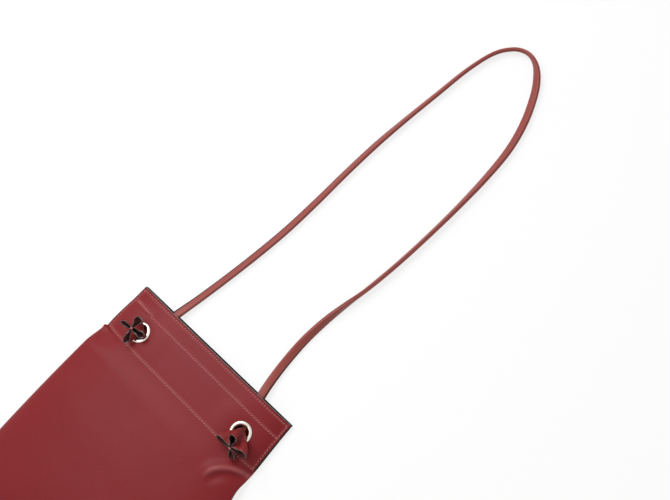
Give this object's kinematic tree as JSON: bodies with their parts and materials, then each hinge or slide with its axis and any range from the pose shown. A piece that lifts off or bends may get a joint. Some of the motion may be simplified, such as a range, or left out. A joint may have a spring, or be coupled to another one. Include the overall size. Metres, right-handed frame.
{
  "type": "shoulder bag",
  "caption": "Flat red leather shoulder bag with an open mouth, a stitched top band, nickel eyelets and a long rounded strap that ends in pinched knots",
  "frame": {"origin": "on the surface the bag lies on, under the middle of the bag without its strap", "axes": "+X across the bag, +Y from its foot to its mouth, +Z out of its front, away from the surface"},
  "size_m": [0.25, 0.7845, 0.0386],
  "materials": {
    "red_leather": "smooth satin leather with dark painted edges",
    "lining_cloth": "matte woven cloth",
    "nickel": "polished nickel plate",
    "thread": "matte sewing thread"
  },
  "bodies": {
    "root": {"front_panel": "red_leather", "back_panel": "red_leather", "front_facing": "red_leather", "back_facing": "red_leather", "front_lining": "lining_cloth", "back_lining": "lining_cloth", "left_eyelet": "nickel", "right_eyelet": "nickel", "left_eyelet_washer": "nickel", "right_eyelet_washer": "nickel", "strap": "red_leather", "left_knot": "red_leather", "right_knot": "red_leather", "left_knot_stitch": "thread", "right_knot_stitch": "thread"}
  },
  "joints": []
}
